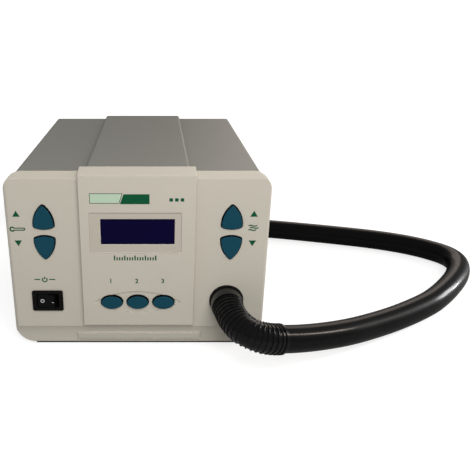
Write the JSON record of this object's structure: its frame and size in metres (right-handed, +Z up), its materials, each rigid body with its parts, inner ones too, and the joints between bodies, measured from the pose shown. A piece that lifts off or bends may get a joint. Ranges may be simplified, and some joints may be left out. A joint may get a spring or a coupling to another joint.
{
  "type": "hot air rework station",
  "caption": "Bench hot air rework station: a cream-fronted blower case with display and push buttons, a black air hose and a heated handpiece.",
  "frame": {"origin": "middle of the box round the case and the handpiece, on the bench; the free hose isn't counted", "axes": "+X to the right seen from the front, +Y from the front panel to the rear panel, +Z up"},
  "size_m": [0.492, 0.4712, 0.1398],
  "materials": {
    "black_plastic": "satin",
    "black_rubber": "matt",
    "board_green": "varnished",
    "brass": "plain",
    "ceramic": "matt",
    "clear_glass": "clear",
    "copper_wire": "varnished",
    "cream_plastic": "fine satin texture",
    "dark_glass": "clear",
    "foam": "open foam",
    "grey_paint": "satin paint",
    "grey_plastic": "matt",
    "steel": "plain",
    "teal_plastic": "gloss",
    "white_plastic": "matt",
    "wire_jacket": "gloss",
    "zinc": "plain"
  },
  "bodies": {
    "station": {"front_bezel": "cream_plastic", "centre_fascia": "cream_plastic", "display_window": "dark_glass", "display_module": "grey_plastic", "control_board": "board_green", "key_switches": "black_plastic", "board_screws": "steel", "switch_housing": "black_plastic", "switch_tabs": "brass", "base_tray": "grey_paint", "rear_panel": "grey_paint", "top_cover": "grey_paint", "cover_screws": "steel", "rear_screws": "steel", "rubber_feet": "black_rubber", "foot_screws": "steel", "outlet_collar": "black_plastic", "hose_boot": "black_rubber", "air_hose": "black_rubber", "air_duct": "grey_plastic", "blower_base": "grey_plastic", "blower_lid": "grey_plastic", "motor_can": "zinc", "motor_stator": "copper_wire", "motor_bearings": "steel", "blower_mounts": "black_rubber", "intake_filter": "foam", "power_board": "board_green", "board_pillars": "white_plastic", "heat_sink": "zinc", "triacs": "black_plastic", "capacitors": "wire_jacket", "terminal_blocks": "teal_plastic", "transformer_core": "zinc", "transformer_coil": "copper_wire", "mains_inlet": "black_plastic", "inlet_pins": "brass", "ground_jack": "brass", "mains_wires": "wire_jacket", "handle_left": "black_plastic", "handle_right": "black_plastic", "handle_screws": "steel", "hand_boot": "black_rubber", "heat_collar": "ceramic", "barrel": "steel", "heater_core": "ceramic"},
    "power_rocker": {"switch_rocker": "black_plastic"},
    "fuse_holder": {"fuse_drawer": "black_plastic", "fuse": "clear_glass"},
    "blower_rotor": {"impeller": "white_plastic", "motor_shaft": "steel"},
    "hot_nozzle": {"nozzle": "steel", "nozzle_screw": "steel"},
    "temp_up_button_cap": {"temp_up_button": "teal_plastic"},
    "temp_down_button_cap": {"temp_down_button": "teal_plastic"},
    "air_up_button_cap": {"air_up_button": "teal_plastic"},
    "air_down_button_cap": {"air_down_button": "teal_plastic"},
    "channel_1_button_cap": {"channel_1_button": "teal_plastic"},
    "channel_2_button_cap": {"channel_2_button": "teal_plastic"},
    "channel_3_button_cap": {"channel_3_button": "teal_plastic"}
  },
  "joints": [
    {"name": "rocker_tilt", "type": "hinge", "parent": "station", "child": "power_rocker", "pos_m": [-0.0957, -0.2037, 0.0394], "axis": [0, 0, 1], "range_deg": [0, 20]},
    {"name": "fuse_drawer_slide", "type": "slide", "parent": "station", "child": "fuse_holder", "axis": [0, 1, 0], "range_m": [0, 0.016]},
    {"name": "blower_spin", "type": "hinge", "parent": "station", "child": "blower_rotor", "pos_m": [-0.0014, -0.0491, 0.06], "axis": [0, 0, 1], "continuous": true},
    {"name": "nozzle_slide", "type": "slide", "parent": "station", "child": "hot_nozzle", "axis": [1, 0, 0], "range_m": [0, 0.014]},
    {"name": "temp_up_button_press", "type": "slide", "parent": "station", "child": "temp_up_button_cap", "axis": [0, 1, 0], "range_m": [0, 0.001], "stiffness_N_per_m": 900, "springref_m": -0.0004},
    {"name": "temp_down_button_press", "type": "slide", "parent": "station", "child": "temp_down_button_cap", "axis": [0, 1, 0], "range_m": [0, 0.001], "stiffness_N_per_m": 900, "springref_m": -0.0004},
    {"name": "air_up_button_press", "type": "slide", "parent": "station", "child": "air_up_button_cap", "axis": [0, 1, 0], "range_m": [0, 0.001], "stiffness_N_per_m": 900, "springref_m": -0.0004},
    {"name": "air_down_button_press", "type": "slide", "parent": "station", "child": "air_down_button_cap", "axis": [0, 1, 0], "range_m": [0, 0.001], "stiffness_N_per_m": 900, "springref_m": -0.0004},
    {"name": "channel_1_button_press", "type": "slide", "parent": "station", "child": "channel_1_button_cap", "axis": [0, 1, 0], "range_m": [0, 0.001], "stiffness_N_per_m": 900, "springref_m": -0.0004},
    {"name": "channel_2_button_press", "type": "slide", "parent": "station", "child": "channel_2_button_cap", "axis": [0, 1, 0], "range_m": [0, 0.001], "stiffness_N_per_m": 900, "springref_m": -0.0004},
    {"name": "channel_3_button_press", "type": "slide", "parent": "station", "child": "channel_3_button_cap", "axis": [0, 1, 0], "range_m": [0, 0.001], "stiffness_N_per_m": 900, "springref_m": -0.0004}
  ]
}
